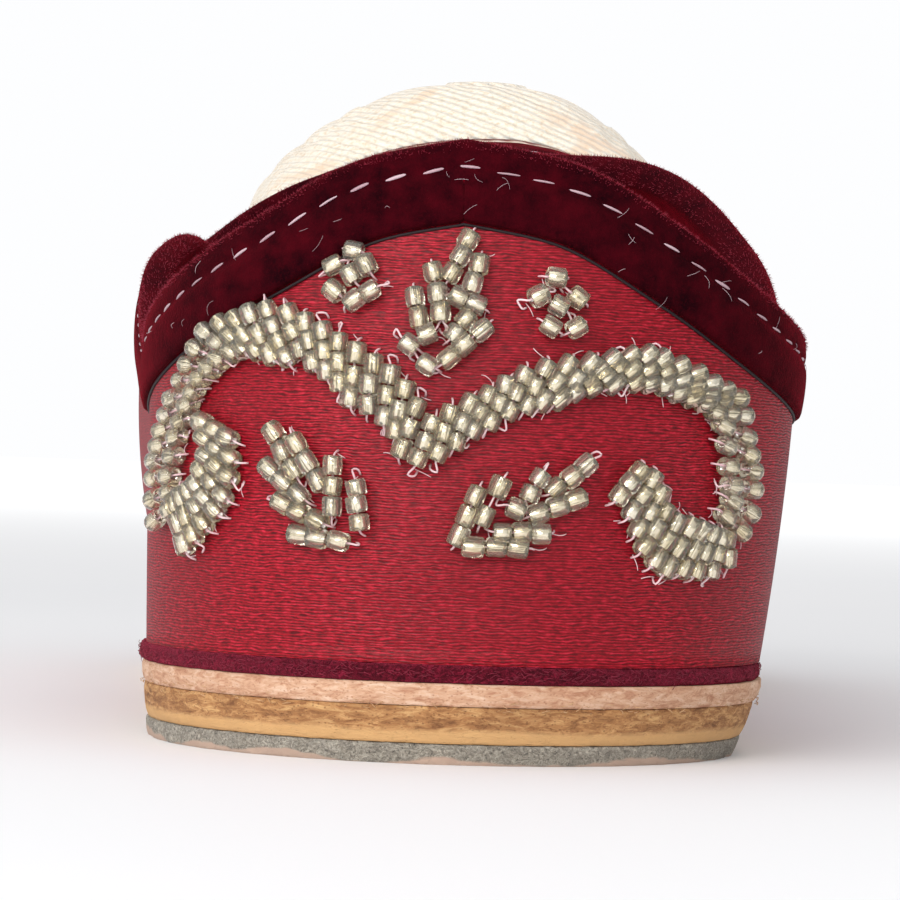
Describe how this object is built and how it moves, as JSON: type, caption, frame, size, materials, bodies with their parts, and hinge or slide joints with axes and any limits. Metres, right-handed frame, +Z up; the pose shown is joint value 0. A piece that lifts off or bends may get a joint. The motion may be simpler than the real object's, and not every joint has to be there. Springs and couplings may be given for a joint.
{
  "type": "embroidered slip-on shoe",
  "caption": "Left punjabi jutti: low leather-soled slip-on with a satin upper, velvet-bound collar, beaded heel and embroidered vamp.",
  "frame": {"origin": "centre of the bounding box, on the floor plane", "axes": "+Z up, +Y from heel to toe, +X to the medial side"},
  "size_m": [0.082, 0.2498, 0.082],
  "materials": {
    "split_suede": "raw split suede, fibrous",
    "sole_leather": "vegetable-tanned cut edge",
    "lining_leather": "pale fibrous cut edge",
    "rand_felt": "maroon felted edge",
    "insole_cover": "soft matt",
    "satin": "satin with a fine horizontal weave",
    "velvet": "short-pile velvet",
    "glass_beads": "champagne glass beads with silver lining",
    "cream_needlework": "dense raised needlework"
  },
  "bodies": {
    "root": {"heel_lift": "split_suede", "outsole": "sole_leather", "midsole": "lining_leather", "rand": "rand_felt", "insole": "insole_cover", "upper": "satin", "collar_binding": "velvet", "heel_scroll": "glass_beads", "heel_leaf_top": "glass_beads", "heel_leaf_lateral": "glass_beads", "heel_leaf_medial": "glass_beads", "heel_floret_lateral": "glass_beads", "heel_floret_medial": "glass_beads", "vamp_embroidery": "cream_needlework"}
  },
  "joints": []
}
